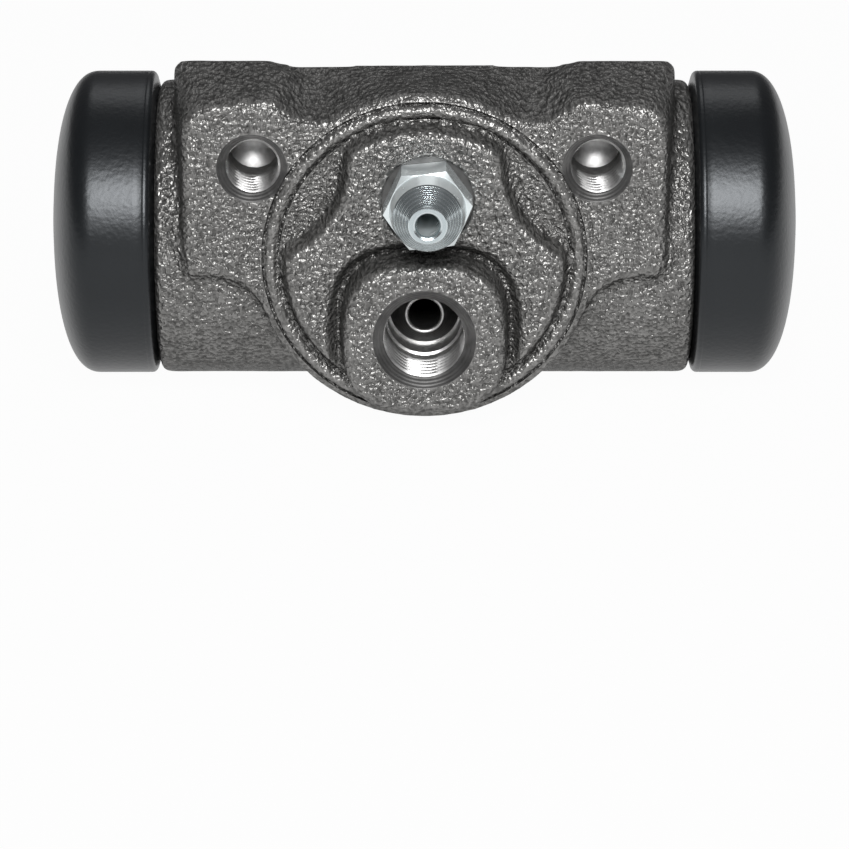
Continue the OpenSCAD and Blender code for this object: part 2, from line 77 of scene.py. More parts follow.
BOSS_ROOM = (19 * MM, 9 * MM, 40 * MM)
SKIN_VOXEL, SOFT_PASSES = 0.4 * MM, 3
PAD_EDGE_FROM, PAD_PASSES = 22.5 * MM, 18
SWELL, SWELL_SIZE = 0.1 * MM, 4 * MM
OVERCUT, SKIM = 1.0 * MM, 0.02 * MM
BORE_REACH = 14 * MM
WELD = 0.5e-6


def pick(*pieces):
    if bpy.context.object and bpy.context.object.mode != "OBJECT":
        bpy.ops.object.mode_set(mode="OBJECT")
    bpy.ops.object.select_all(action="DESELECT")
    for piece in pieces:
        piece.select_set(True)
        bpy.context.view_layer.objects.active = piece


def apply_modifier(piece, kind, **settings):
    pick(piece)
    bpy.ops.object.modifier_add(type=kind)
    modifier = piece.modifiers[-1]
    for name, value in settings.items():
        setattr(modifier, name, value)
    bpy.ops.object.modifier_apply(modifier=modifier.name)


def close_up(piece):
    pick(piece)
    bpy.ops.object.mode_set(mode="EDIT")
    bpy.ops.mesh.select_all(action="SELECT")
    bpy.ops.mesh.remove_doubles(threshold=WELD)
    bpy.ops.mesh.delete_loose(use_verts=True, use_edges=True, use_faces=False)
    bpy.ops.mesh.select_all(action="SELECT")
    bpy.ops.mesh.fill_holes(sides=0)
    bpy.ops.mesh.select_all(action="SELECT")
    bpy.ops.mesh.normals_make_consistent(inside=False)
    bpy.ops.object.mode_set(mode="OBJECT")


def spin(piece, centre, axis, steps):
    bpy.ops.object.transform_apply(location=True, rotation=True, scale=True)
    bpy.ops.object.mode_set(mode="EDIT")
    bpy.ops.mesh.select_all(action="SELECT")
    bpy.ops.mesh.spin(steps=steps, angle=2 * math.pi, center=centre, axis=axis)
    bpy.ops.object.mode_set(mode="OBJECT")
    close_up(piece)


def turned_on_bore(name, profile, steps=128):
    """A closed outline of (x, radius) points, spun about the bore."""
    pick()
    bpy.ops.mesh.primitive_circle_add(vertices=len(profile), radius=MM)
    piece = bpy.context.object
    piece.name = name
    for corner, (x, radius) in zip(piece.data.vertices, profile):
        corner.co = (x, BORE_Y, BORE_Z + radius)
    spin(piece, (0, BORE_Y, BORE_Z), (1, 0, 0), steps)
    return piece


def turned_on_face(name, profile, x, z, steps=96):
    """A closed outline of (radius, depth behind the mounting face) points, spun about a hole."""
    pick()
    bpy.ops.mesh.primitive_circle_add(vertices=len(profile), radius=MM)
    piece = bpy.context.object
    piece.name = name
    for corner, (radius, depth) in zip(piece.data.vertices, profile):
        corner.co = (x + radius, depth, z)
    spin(piece, (x, 0, z), (0, 1, 0), steps)
    return piece


def hoop(radius, bead):
    """A ring of round section lying in the mounting face, about the flange's round part."""
    turns = [k * math.pi / 8 for k in range(16)]
    profile = [(radius + bead * math.cos(a), bead * math.sin(a)) for a in turns]
    return turned_on_face("hoop", profile, 0, RING_Z, 200)


def thread_cutter(name, x, z, front, depth, minor, major, pitch):
    """A tapped hole's own shape: a tube of rings whose radius follows the helix."""
    around, per_pitch = 48, 8
    pick()
    rings = round(depth / pitch * per_pitch)
    bpy.ops.mesh.primitive_grid_add(x_subdivisions=around, y_subdivisions=rings, size=2)
    tap = bpy.context.object
    tap.name = name
    for corner in tap.data.vertices:
        turn = (corner.co.x + 1) / 2
        deep = (corner.co.y + 1) / 2 * depth
        tooth = abs((deep / pitch + turn) % 1 - 0.5) * 2
        flank = min(1, max(0, 1.3 * tooth - 0.15))
        fade = min(1, (depth - deep) / (1.5 * pitch))
        radius = minor + (major - minor) * flank * fade
        corner.co = (x + radius * math.cos(2 * math.pi * turn), front + deep,
                     z + radius * math.sin(2 * math.pi * turn))
    close_up(tap)
    return tap


def cut(target, tool, operation="DIFFERENCE"):
    apply_modifier(target, "BOOLEAN", operation=operation, solver="MANIFOLD", object=tool)
    bpy.data.objects.remove(tool)


casting = bpy.data.objects.new("cast_body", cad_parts["cylinder_body"].data.copy())
bpy.context.scene.collection.objects.link(casting)
casting.data.materials.clear()
pick(casting)
bpy.ops.object.mode_set(mode="EDIT")
bpy.ops.mesh.select_all(action="SELECT")
bpy.ops.mesh.remove_doubles(threshold=WELD)
bpy.ops.object.mode_set(mode="OBJECT")

# The holes are filled while the skin is made and softened, and are then cut again.
bolt_plug_r, bolt_plug_end = 4.6 * MM, 13.5 * MM
inlet_plug_r, inlet_plug_end = 6.6 * MM, 8 * MM
bleed_plug_r, bleed_plug_end = 4 * MM, 12 * MM
bolt_plug = [(0, 0), (bolt_plug_r, 0), (bolt_plug_r, 2 * MM), (bolt_plug_r - 0.6 * MM, bolt_plug_end),
             (0, bolt_plug_end)]
plugs = [
    turned_on_bore("bore_plug", [
        (-SPIGOT_END, 0), (SPIGOT_END, 0), (SPIGOT_END, SPIGOT_R), (-SPIGOT_END, SPIGOT_R)]),
    turned_on_face("left_plug", bolt_plug, -BOLT_X, 0),
    turned_on_face("right_plug", bolt_plug, BOLT_X, 0),
    turned_on_face("inlet_plug", [
        (0, -INLET_FACE), (inlet_plug_r, -INLET_FACE), (inlet_plug_r, 0),
        (inlet_plug_r - 1 * MM, inlet_plug_end), (0, inlet_plug_end)], 0, INLET_Z),
    turned_on_face("bleed_plug", [
        (0, -SPOT_FACE), (bleed_plug_r, -SPOT_FACE), (bleed_plug_r, bleed_plug_end),
        (0, bleed_plug_end)], BLEED_X, BLEED_Z),
]
pick(*plugs, casting)
bpy.ops.object.join()
apply_modifier(casting, "REMESH", mode="VOXEL", voxel_size=SKIN_VOXEL, adaptivity=0.0)
apply_modifier(casting, "SMOOTH", factor=0.5, iterations=SOFT_PASSES)
pad_edges = casting.vertex_groups.new(name="pad_edges")
pad_edges.add([v.index for v in casting.data.vertices
               if math.hypot(v.co.x, v.co.z - RING_Z) > PAD_EDGE_FROM], 1, "REPLACE")
apply_modifier(casting, "SMOOTH", factor=0.5, iterations=PAD_PASSES, vertex_group="pad_edges")
casting.vertex_groups.clear()
swell = bpy.data.textures.new("sand_swell", "CLOUDS")
swell.noise_scale = SWELL_SIZE
apply_modifier(casting, "DISPLACE", texture=swell, strength=SWELL, mid_level=0.5)

cut(casting, hoop(RING_R, RING_BEAD), "UNION")
cut(casting, hoop(RING_R + RING_BEAD + GROOVE_GAP, RING_GROOVE))
inner_groove = hoop(RING_R - RING_BEAD - GROOVE_GAP, RING_GROOVE)
pick()
bpy.ops.mesh.primitive_cube_add(size=1, location=(0, 0, RING_Z - BOSS_ROOM[2] / 2), scale=BOSS_ROOM)
under_boss = bpy.context.object
bpy.ops.object.transform_apply(location=True, rotation=True, scale=True)
cut(inner_groove, under_boss)
cut(casting, inner_groove)

for side in (-1, 1):
    shoulder, groove_end = side * SHOULDER_X, side * (SHOULDER_X + GROOVE_WIDTH)
    end, past = side * SPIGOT_END, side * (SPIGOT_END + 3 * MM)
    inside, outside = BORE_R - 2.7 * MM, 24 * MM
    cut(casting, turned_on_bore("spigot_tool", [
        (shoulder, GROOVE_R), (groove_end, GROOVE_R), (groove_end, SPIGOT_R),
        (end - side * SPIGOT_CHAMFER, SPIGOT_R), (end, SPIGOT_R - SPIGOT_CHAMFER), (end, inside),
        (past, inside), (past, outside), (shoulder, outside)]))
    cut(casting, turned_on_bore("mouth_tool", [
        (end - side * BORE_CHAMFER, 0), (end - side * BORE_CHAMFER, BORE_R),
        (end + side * OVERCUT, BORE_R + BORE_CHAMFER + OVERCUT), (end + side * OVERCUT, 0)]))
bore_end = SPIGOT_END + 4.5 * MM
cut(casting, turned_on_bore("bore_tool", [
    (-bore_end, 0), (bore_end, 0), (bore_end, BORE_R), (-bore_end, BORE_R)]))

chamfer = BOLT_MOUTH_R - BOLT_R
drill_from, point = BOLT_DEPTH - 4 * MM, BOLT_DEPTH + BOLT_R * math.tan(DRILL_POINT)
for side in (-1, 1):
    x = side * BOLT_X
    cut(casting, thread_cutter(
        "bolt_tap", x, 0, -OVERCUT, BOLT_DEPTH - OVERCUT, BOLT_R, BOLT_MAJOR_R, BOLT_PITCH))
    cut(casting, turned_on_face("bolt_drill", [
        (0, drill_from), (BOLT_R, drill_from), (BOLT_R, BOLT_DEPTH), (0, point)], x, 0))
    cut(casting, turned_on_face("bolt_mouth", [
        (0, -OVERCUT), (BOLT_MOUTH_R + OVERCUT, -OVERCUT), (BOLT_R, chamfer), (0, chamfer)], x, 0))

wall_end = INLET_DEPTH - INLET_FACE
seat_tip = wall_end - SEAT_HEIGHT
thread_end = THREAD_END - INLET_FACE
inlet_front, tip_round = -INLET_FACE - OVERCUT, 0.1 * MM
cut(casting, turned_on_face("inlet_drill", [
    (0, inlet_front), (INLET_R, inlet_front), (INLET_R, thread_end),
    (POCKET_R, thread_end + 0.2 * MM), (POCKET_R, wall_end), (SEAT_FOOT_R, wall_end),
    (SEAT_TIP_R, seat_tip + tip_round), (SEAT_TIP_R - tip_round, seat_tip),
    (INLET_HOLE_R + 0.28 * MM, seat_tip), (INLET_HOLE_R + tip_round, seat_tip + tip_round),
    (INLET_HOLE_R, seat_tip + 0.32 * MM), (INLET_HOLE_R, BORE_REACH), (0, BORE_REACH)], 0, INLET_Z))
tap = thread_cutter("inlet_tap", 0, INLET_Z, inlet_front, THREAD_END + 0.6 * MM,
                    INLET_R - SKIM, INLET_MAJOR_R, INLET_PITCH)
cut(tap, turned_on_face("tap_core", [
    (0, inlet_front - OVERCUT), (POCKET_R, inlet_front - OVERCUT), (POCKET_R, BORE_REACH),
    (0, BORE_REACH)], 0, INLET_Z))
cut(casting, tap)
mouth = INLET_MOUTH_R - INLET_R
cut(casting, turned_on_face("inlet_mouth", [
    (0, inlet_front), (INLET_MOUTH_R + OVERCUT, inlet_front), (INLET_R, -INLET_FACE + mouth),
    (0, -INLET_FACE + mouth)], 0, INLET_Z))

spot_front, spot_floor = -12 * MM, -SPOT_FACE + SKIM
cut(casting, turned_on_face("bleed_drill", [
    (0, spot_front), (SPOT_R, spot_front), (SPOT_R, spot_floor), (BLEED_HOLE_R, spot_floor),
    (BLEED_HOLE_R, BLEED_SEAT - BLEED_CONE), (BLEED_DRILL_R, BLEED_SEAT), (BLEED_DRILL_R, BORE_REACH),
    (0, BORE_REACH)], BLEED_X, BLEED_Z))


def finish_of(name):
    material = bpy.data.materials.new(name)
    material.use_nodes = True
    return material, material.node_tree, material.node_tree.nodes["Principled BSDF"]


def put(tree, kind, inputs=None, **settings):
    made = tree.nodes.new(kind)
    for name, value in settings.items():
        setattr(made, name, value)
    for name, value in (inputs or {}).items():
        made.inputs[name].default_value = value
    return made


def ramp(tree, source, stops):
    made = tree.nodes.new("ShaderNodeValToRGB")
    line = made.color_ramp
    while len(line.elements) < len(stops):
        line.elements.new(0.5)
    for stop, (place, colour) in zip(line.elements, stops):
        stop.position = place
        stop.color = (*colour, 1) if len(colour) == 3 else (colour[0], colour[0], colour[0], 1)
    tree.links.new(source, made.inputs["Fac"])
    return made


def sum_of(tree, first, second, share):
    made = put(tree, "ShaderNodeMath", operation="MULTIPLY_ADD")
    tree.links.new(second, made.inputs[0])
    made.inputs[1].default_value = share
    tree.links.new(first, made.inputs[2])
    return made.outputs[0]


casting.data.materials.clear()
iron, tree, bsdf = finish_of("cast_iron_skin")
place = put(tree, "ShaderNodeTexCoord").outputs["Object"]
stretch = put(tree, "ShaderNodeMapping", {"Scale": (1, 0.5, 1)})
tree.links.new(place, stretch.inputs["Vector"])
grain = put(tree, "ShaderNodeTexNoise", {"Scale": 2000, "Detail": 1, "Roughness": 0.4, "Distortion": 0.3})
lump = put(tree, "ShaderNodeTexNoise", {"Scale": 620, "Detail": 1, "Roughness": 0.5})
patch = put(tree, "ShaderNodeTexNoise", {"Scale": 140, "Detail": 3, "Roughness": 0.6})
for source in (grain, lump, patch):
    tree.links.new(stretch.outputs["Vector"], source.inputs["Vector"])
height = sum_of(tree, grain.outputs["Fac"], lump.outputs["Fac"], 0.35)
bump = put(tree, "ShaderNodeBump", {"Distance": 0.7 * MM})
tree.links.new(height, bump.inputs["Height"])
tree.links.new(bump.outputs["Normal"], bsdf.inputs["Normal"])
# The skin colour follows the bump height. It is darker in the hollows of the pebbling, which is painted
# shade, and lighter on the peaks, with random patches of tone over it.
pit_shade_and_tone = sum_of(tree, height, patch.outputs["Fac"], 0.25)
colour = ramp(tree, pit_shade_and_tone, [(0.6, (0.135, 0.133, 0.129)), (0.95, (0.275, 0.271, 0.264))])
# Pointiness darkens the hollows and creases, which is painted shade. It lightens the convex edges, which is
# partly edge wear and partly a painted highlight along the rounded edges.
edge = put(tree, "ShaderNodeNewGeometry").outputs["Pointiness"]
crease_shade_and_edge_wear = ramp(tree, edge, [(0.44, (0.55,)), (0.5, (0.87,)), (0.54, (1.0,))])
rubbed = ramp(tree, edge, [(0.505, (1.0,)), (0.54, (0.4,))])
tree.links.new(rubbed.outputs["Color"], bump.inputs["Strength"])
crease_shaded_and_worn = put(tree, "ShaderNodeMix", data_type="RGBA", blend_type="MULTIPLY")
crease_shaded_and_worn.inputs["Factor"].default_value = 1.0
tree.links.new(colour.outputs["Color"], crease_shaded_and_worn.inputs[6])
tree.links.new(crease_shade_and_edge_wear.outputs["Color"], crease_shaded_and_worn.inputs[7])
tree.links.new(crease_shaded_and_worn.outputs[2], bsdf.inputs["Base Color"])
bsdf.inputs["Roughness"].default_value = 0.34
bsdf.inputs["Metallic"].default_value = 0.74
bsdf.inputs["Specular Tint"].default_value = (0.3, 0.3, 0.3, 1)
casting.data.materials.append(iron)

# Cut iron on the chamfers, the spot face, the inlet seat and the hidden bore and spigots. It is coloured
# much darker than the cast skin as painted shade in these hollows and recesses.
shaded_cut_iron, tree, bsdf = finish_of("machined_iron_painted_shade")
place = put(tree, "ShaderNodeTexCoord").outputs["Object"]
tool_marks = put(tree, "ShaderNodeTexWave", {"Scale": 900, "Distortion": 0.4, "Detail": 1},
                 bands_direction="Y")
smear = put(tree, "ShaderNodeTexNoise", {"Scale": 500, "Detail": 2})
for source in (tool_marks, smear):
    tree.links.new(place, source.inputs["Vector"])
bump = put(tree, "ShaderNodeBump", {"Strength": 0.4, "Distance": 0.05 * MM})
tree.links.new(tool_marks.outputs["Fac"], bump.inputs["Height"])
tree.links.new(bump.outputs["Normal"], bsdf.inputs["Normal"])
colour = ramp(tree, smear.outputs["Fac"], [(0.3, (0.08, 0.079, 0.078)), (0.7, (0.14, 0.138, 0.136))])
tree.links.new(colour.outputs["Color"], bsdf.inputs["Base Color"])
gloss = ramp(tree, smear.outputs["Fac"], [(0.3, (0.48,)), (0.7, (0.38,))])
tree.links.new(gloss.outputs["Color"], bsdf.inputs["Roughness"])
bsdf.inputs["Metallic"].default_value = 0.8
casting.data.materials.append(shaded_cut_iron)

tapped_iron, tree, bsdf = finish_of("tapped_iron")
place = put(tree, "ShaderNodeTexCoord").outputs["Object"]
chatter = put(tree, "ShaderNodeTexNoise", {"Scale": 1600, "Detail": 2})
tree.links.new(place, chatter.inputs["Vector"])
colour = ramp(tree, chatter.outputs["Fac"], [(0.3, (0.5, 0.497, 0.493)), (0.7, (0.66, 0.656, 0.65))])
tree.links.new(colour.outputs["Color"], bsdf.inputs["Base Color"])
bsdf.inputs["Roughness"].default_value = 0.36
bsdf.inputs["Metallic"].default_value = 1.0
casting.data.materials.append(tapped_iron)

# Cut faces take the dark cut iron, which is painted shade. The threads, the bolt drill points and the inlet
# seat rim keep the light tapped iron.
for face in casting.data.polygons:
    x, y, z = face.center
    from_bolt = math.hypot(abs(x) - BOLT_X, z)
    from_inlet = math.hypot(x, z - INLET_Z)
    from_bleed = math.hypot(x - BLEED_X, z - BLEED_Z)
    from_bore = math.hypot(y - BORE_Y, z - BORE_Z)
    turned = abs(x) > SHOULDER_X - 0.01 * MM or from_bore < SPIGOT_R - 0.5 * MM
    drilled = from_inlet < INLET_MOUTH_R + SKIM or from_bleed < SPOT_R + SKIM
    drilled = drilled or (from_bolt < BOLT_MOUTH_R + SKIM and y > -0.1 * MM)
    tapped = from_bolt < BOLT_MAJOR_R + SKIM and y > chamfer
    tapped = tapped or (y > mouth - INLET_FACE and abs(from_inlet - INLET_R) < 0.6 * MM)
    seat_rim = INLET_HOLE_R + SKIM < from_inlet < SEAT_TIP_R + 0.15 * MM
    tapped = tapped or (seat_rim and y > seat_tip - 0.05 * MM)
    if turned or (drilled and y < BORE_REACH):
        face.material_index = 2 if tapped and y < BORE_REACH else 1
pick(casting)
bpy.ops.object.shade_smooth_by_angle(angle=math.radians(38))
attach(casting, "cylinder")
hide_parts("cylinder_body")

# Return spring: one drawn steel wire coil between the two cup expanders, its end coils closed up.
# It is drawn as two halves that meet in the middle.
SPRING_R, WIRE_R, SPRING_END, HALF_COILS = 6.5 * MM, 0.65 * MM, 22.99 * MM, 4
CLOSED_TURNS, CLOSED_LAY, TRAVEL = 0.9, 2.04 * WIRE_R, 8 * MM
wire, tree, bsdf = finish_of("spring_wire")
place = put(tree, "ShaderNodeTexCoord").outputs["Object"]
drawn = put(tree, "ShaderNodeTexNoise", {"Scale": 1800, "Detail": 3, "Roughness": 0.6})
oil = put(tree, "ShaderNodeTexNoise", {"Scale": 240, "Detail": 3})
for source in (drawn, oil):
    tree.links.new(place, source.inputs["Vector"])
bump = put(tree, "ShaderNodeBump", {"Strength": 0.25, "Distance": 0.03 * MM})
tree.links.new(drawn.outputs["Fac"], bump.inputs["Height"])
tree.links.new(bump.outputs["Normal"], bsdf.inputs["Normal"])
colour = ramp(tree, oil.outputs["Fac"], [(0.35, (0.3, 0.3, 0.29)), (0.7, (0.5, 0.5, 0.48))])
tree.links.new(colour.outputs["Color"], bsdf.inputs["Base Color"])
bsdf.inputs["Roughness"].default_value = 0.35
bsdf.inputs["Metallic"].default_value = 1.0

open_turns = HALF_COILS - CLOSED_TURNS
slack = SPRING_END - CLOSED_TURNS * CLOSED_LAY
for side, word in ((-1, "left"), (1, "right")):
    pick()
    bpy.ops.mesh.primitive_grid_add(x_subdivisions=12, y_subdivisions=32 * HALF_COILS, size=2)
    coil = bpy.context.object
    coil.name = "spring_half_" + word
    for corner in coil.data.vertices:
        around = math.pi * (corner.co.x + 1)
        turns = HALF_COILS * (corner.co.y + 1) / 2
        along = slack * turns / open_turns
        if turns >= open_turns:
            along = slack + CLOSED_LAY * (turns - open_turns)
        radius = SPRING_R + WIRE_R * math.cos(around)
        swing = side * 2 * math.pi * turns
        corner.co = (side * along + WIRE_R * math.sin(around), BORE_Y + radius * math.cos(swing),
                     BORE_Z + radius * math.sin(swing))
    close_up(coil)
    coil.data.materials.append(wire)
    pick(coil)
    bpy.ops.object.shade_smooth_by_angle(angle=math.radians(50))
    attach(coil, "cylinder")
    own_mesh(coil)
    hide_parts("return_spring")

# Cup expanders: two dished washers pressed from thin steel, one at each end of the spring.
# They hold the lips of the cups out against the bore.
pressed, tree, bsdf = finish_of("pressed_steel")
place = put(tree, "ShaderNodeTexCoord").outputs["Object"]
drag = put(tree, "ShaderNodeTexNoise", {"Scale": 900, "Detail": 4, "Roughness": 0.65})
tree.links.new(place, drag.inputs["Vector"])
bump = put(tree, "ShaderNodeBump", {"Strength": 0.2, "Distance": 0.02 * MM})
tree.links.new(drag.outputs["Fac"], bump.inputs["Height"])
tree.links.new(bump.outputs["Normal"], bsdf.inputs["Normal"])
colour = ramp(tree, drag.outputs["Fac"], [(0.3, (0.45, 0.45, 0.44)), (0.7, (0.62, 0.62, 0.6))])
tree.links.new(colour.outputs["Color"], bsdf.inputs["Base Color"])
bsdf.inputs["Roughness"].default_value = 0.33
bsdf.inputs["Metallic"].default_value = 1.0
for word in ("left", "right"):
    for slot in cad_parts["cup_expander_" + word].material_slots:
        slot.material = pressed

# Cups: two moulded rubber seals, each lying against the inner end of its piston.
# The fluid presses their thin lips against the bore.
seal, tree, bsdf = finish_of("seal_rubber")
place = put(tree, "ShaderNodeTexCoord").outputs["Object"]
mould = put(tree, "ShaderNodeTexNoise", {"Scale": 1400, "Detail": 3, "Roughness": 0.6})
wet = put(tree, "ShaderNodeTexNoise", {"Scale": 200, "Detail": 3})
for source in (mould, wet):
    tree.links.new(place, source.inputs["Vector"])
bump = put(tree, "ShaderNodeBump", {"Strength": 0.3, "Distance": 0.03 * MM})
tree.links.new(mould.outputs["Fac"], bump.inputs["Height"])
tree.links.new(bump.outputs["Normal"], bsdf.inputs["Normal"])
bsdf.inputs["Base Color"].default_value = (0.014, 0.014, 0.015, 1)
gloss = ramp(tree, wet.outputs["Fac"], [(0.35, (0.3,)), (0.7, (0.5,))])
tree.links.new(gloss.outputs["Color"], bsdf.inputs["Roughness"])
for word in ("left", "right"):
    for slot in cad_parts["cup_" + word].material_slots:
        slot.material = seal

# Pistons: two turned aluminium plugs with an anodised skin, a loose fit in the bore.
# Each has a socket for the push rod, seen through the hole of its boot.
alloy, tree, bsdf = finish_of("anodised_alloy")
place = put(tree, "ShaderNodeTexCoord").outputs["Object"]
turning = put(tree, "ShaderNodeTexWave", {"Scale": 1100, "Distortion": 0.5, "Detail": 1},
              bands_direction="X")
haze = put(tree, "ShaderNodeTexNoise", {"Scale": 300, "Detail": 4, "Roughness": 0.6})
for source in (turning, haze):
    tree.links.new(place, source.inputs["Vector"])
bump = put(tree, "ShaderNodeBump", {"Strength": 0.2, "Distance": 0.02 * MM})
tree.links.new(turning.outputs["Fac"], bump.inputs["Height"])
tree.links.new(bump.outputs["Normal"], bsdf.inputs["Normal"])
colour = ramp(tree, haze.outputs["Fac"], [(0.3, (0.5, 0.51, 0.52)), (0.7, (0.66, 0.67, 0.68))])
tree.links.new(colour.outputs["Color"], bsdf.inputs["Base Color"])
gloss = ramp(tree, haze.outputs["Fac"], [(0.3, (0.42,)), (0.7, (0.32,))])
tree.links.new(gloss.outputs["Color"], bsdf.inputs["Roughness"])
bsdf.inputs["Metallic"].default_value = 1.0
for word in ("left", "right"):
    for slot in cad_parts["piston_" + word].material_slots:
        slot.material = alloy

# Dust boots: two moulded rubber caps, each snapped into the groove of its spigot.
# A bead grips beside the shoulder, and the domed end has a hole for the push rod.
BOOT_R, BOOT_BORE_R, BOOT_END = 19.4 * MM, 16.35 * MM, 47.5 * MM
DOME_X, DOME_LENGTH, DOME_IN, DOME_POWER = 41.6 * MM, 5.9 * MM, 3.6 * MM, 2.4
BEAD_X, BEAD_R, BOOT_ROUND, BOOT_HOLE_R = 33.95 * MM, 15.35 * MM, 0.7 * MM, 4.8 * MM
LIP_X, LIP_FACE_R, GROOVE_FIT = BEAD_X + 0.4 * MM, BOOT_R - 2.0 * MM, 0.05 * MM
SEAM_X, SEAM_WIDTH, SEAM_DEPTH = LIP_X + 0.85 * MM, 0.16 * MM, 0.04 * MM


def dome(x0, long, wide, hole, count):
    first = math.asin((hole / wide) ** (DOME_POWER / 2))
    points = []
    for k in range(count + 1):
        a = math.pi / 2 + (first - math.pi / 2) * k / count
        points.append((x0 + long * max(0, math.cos(a)) ** (2 / DOME_POWER),
                       wide * math.sin(a) ** (2 / DOME_POWER)))
    return points


rubber, tree, bsdf = finish_of("boot_rubber")
place = put(tree, "ShaderNodeTexCoord").outputs["Object"]
peel = put(tree, "ShaderNodeTexNoise", {"Scale": 2400, "Detail": 3, "Roughness": 0.6})
dimple = put(tree, "ShaderNodeTexNoise", {"Scale": 1500, "Detail": 1, "Roughness": 0.5})
bloom = put(tree, "ShaderNodeTexNoise", {"Scale": 90, "Detail": 4, "Roughness": 0.6})
for source in (peel, dimple, bloom):
    tree.links.new(place, source.inputs["Vector"])
bump = put(tree, "ShaderNodeBump", {"Strength": 1.0, "Distance": 0.03 * MM})
moulding = sum_of(tree, dimple.outputs["Fac"], peel.outputs["Fac"], 0.15)
tree.links.new(moulding, bump.inputs["Height"])
tree.links.new(bump.outputs["Normal"], bsdf.inputs["Normal"])
colour = ramp(tree, bloom.outputs["Fac"], [
    (0.3, (0.0045, 0.0052, 0.006)), (0.75, (0.007, 0.008, 0.009))])
tree.links.new(colour.outputs["Color"], bsdf.inputs["Base Color"])
gloss = ramp(tree, bloom.outputs["Fac"], [(0.3, (0.33,)), (0.75, (0.37,))])
tree.links.new(gloss.outputs["Color"], bsdf.inputs["Roughness"])
bsdf.inputs["Specular IOR Level"].default_value = 0.45
bsdf.inputs["Specular Tint"].default_value = (0.92, 0.96, 1, 1)

outline = [(BEAD_X, BEAD_R), (BEAD_X, LIP_FACE_R)]
for k in range(9):
    a = math.radians(10 + 10 * k)
    outline.append((LIP_X + BOOT_ROUND * (1 - math.cos(a)), BOOT_R - BOOT_ROUND * (1 - math.sin(a))))
outline += [(SEAM_X, BOOT_R), (SEAM_X + SEAM_WIDTH / 2, BOOT_R - SEAM_DEPTH), (SEAM_X + SEAM_WIDTH, BOOT_R)]
outline += [(SEAM_X + k * (DOME_X - SEAM_X) / 5, BOOT_R) for k in range(1, 5)]
outline += dome(DOME_X, DOME_LENGTH, BOOT_R, BOOT_HOLE_R + 0.9 * MM, 36)
outline += [(BOOT_END - 0.05 * MM, BOOT_HOLE_R + 0.3 * MM),
            (BOOT_END - 0.12 * MM, BOOT_HOLE_R + 0.08 * MM),
            (BOOT_END - 0.3 * MM, BOOT_HOLE_R), (DOME_X + DOME_IN, BOOT_HOLE_R)]
outline += dome(DOME_X, DOME_IN, BOOT_BORE_R, BOOT_HOLE_R + 1.0 * MM, 16)[::-1]
outline += [(SHOULDER_X + GROOVE_WIDTH + GROOVE_FIT, BOOT_BORE_R),
            (SHOULDER_X + GROOVE_WIDTH - GROOVE_FIT, BEAD_R)]
for side, word in ((-1, "left"), (1, "right")):
    boot = turned_on_bore("dust_boot_" + word, [(side * x, radius) for x, radius in outline], 160)
    boot.data.materials.append(rubber)
    pick(boot)
    bpy.ops.object.shade_smooth_by_angle(angle=math.radians(40))
    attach(boot, "cylinder")
    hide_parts("boot_" + word)

# Bleed screw: zinc-plated steel with a hexagon, a hose bulb and a drilled tip.
# It screws into the platform and seals on a cone at the end of its shank; it is turned
# from hexagon bar, so fine rings are left on the cone behind its tip.
HEX_BACK, HEX_FRONT, HEX_FLATS, HEX_TURN = -2.55 * MM, -7.25 * MM, 9.6 * MM, math.radians(6)
BULB_R, BULB_RIM_R, TIP_R, BLEED_R = 4.75 * MM, 4.3 * MM, 2.45 * MM, 1.45 * MM
BULB_FRONT, TIP_FRONT, SHANK_R = -9.85 * MM, -12.95 * MM, 3.4 * MM
CHAMFER_RUN, CHAMFER_RISE = 3.4 * MM, 2.0 * MM
SEAT_END, SEAT_END_R, SEAT_BACK = 7.94 * MM, 1.7 * MM, 6.44 * MM
RELIEF_R, RELIEF_BACK, SHANK_BACK = 3.2 * MM, 5.24 * MM, 5.04 * MM
CROSS_Y, CROSS_R, CROSS_LENGTH = 5.84 * MM, 0.9 * MM, 9 * MM
CONE_RINGS, RING_STEP, TIP_LENGTH = 11, 0.03 * MM, 0.6 * MM
pick()
bpy.ops.mesh.primitive_cylinder_add(vertices=6, radius=1, depth=2)
bleed_screw = bpy.context.object
bleed_screw.name = "bleed_screw"
for corner in bleed_screw.data.vertices:
    a = math.atan2(corner.co.y, corner.co.x) - math.pi / 6 + HEX_TURN
    point = HEX_FLATS / 2 / math.cos(math.pi / 6)
    corner.co = (BLEED_X + point * math.cos(a), HEX_FRONT if corner.co.z > 0 else HEX_BACK,
                 BLEED_Z + point * math.sin(a))
close_up(bleed_screw)
cut(bleed_screw, turned_on_face("hex_chamfer", [
    (0, 0), (12 * MM, 0), (HEX_FLATS / 2 + CHAMFER_RUN, HEX_FRONT + CHAMFER_RISE),
    (HEX_FLATS / 2, HEX_FRONT - SKIM), (0, HEX_FRONT - SKIM)], BLEED_X, BLEED_Z, 120), "INTERSECT")
cone = [(BULB_RIM_R, BULB_FRONT)]
for k in range(1, CONE_RINGS):
    t = k / CONE_RINGS
    radius = BULB_RIM_R + (TIP_R - BULB_RIM_R) * t
    y = BULB_FRONT + (TIP_FRONT + TIP_LENGTH - BULB_FRONT) * t
    cone += [(radius, y), (radius - RING_STEP, y - 0.01 * MM)]
bulb_root = HEX_FRONT + 1.0 * MM
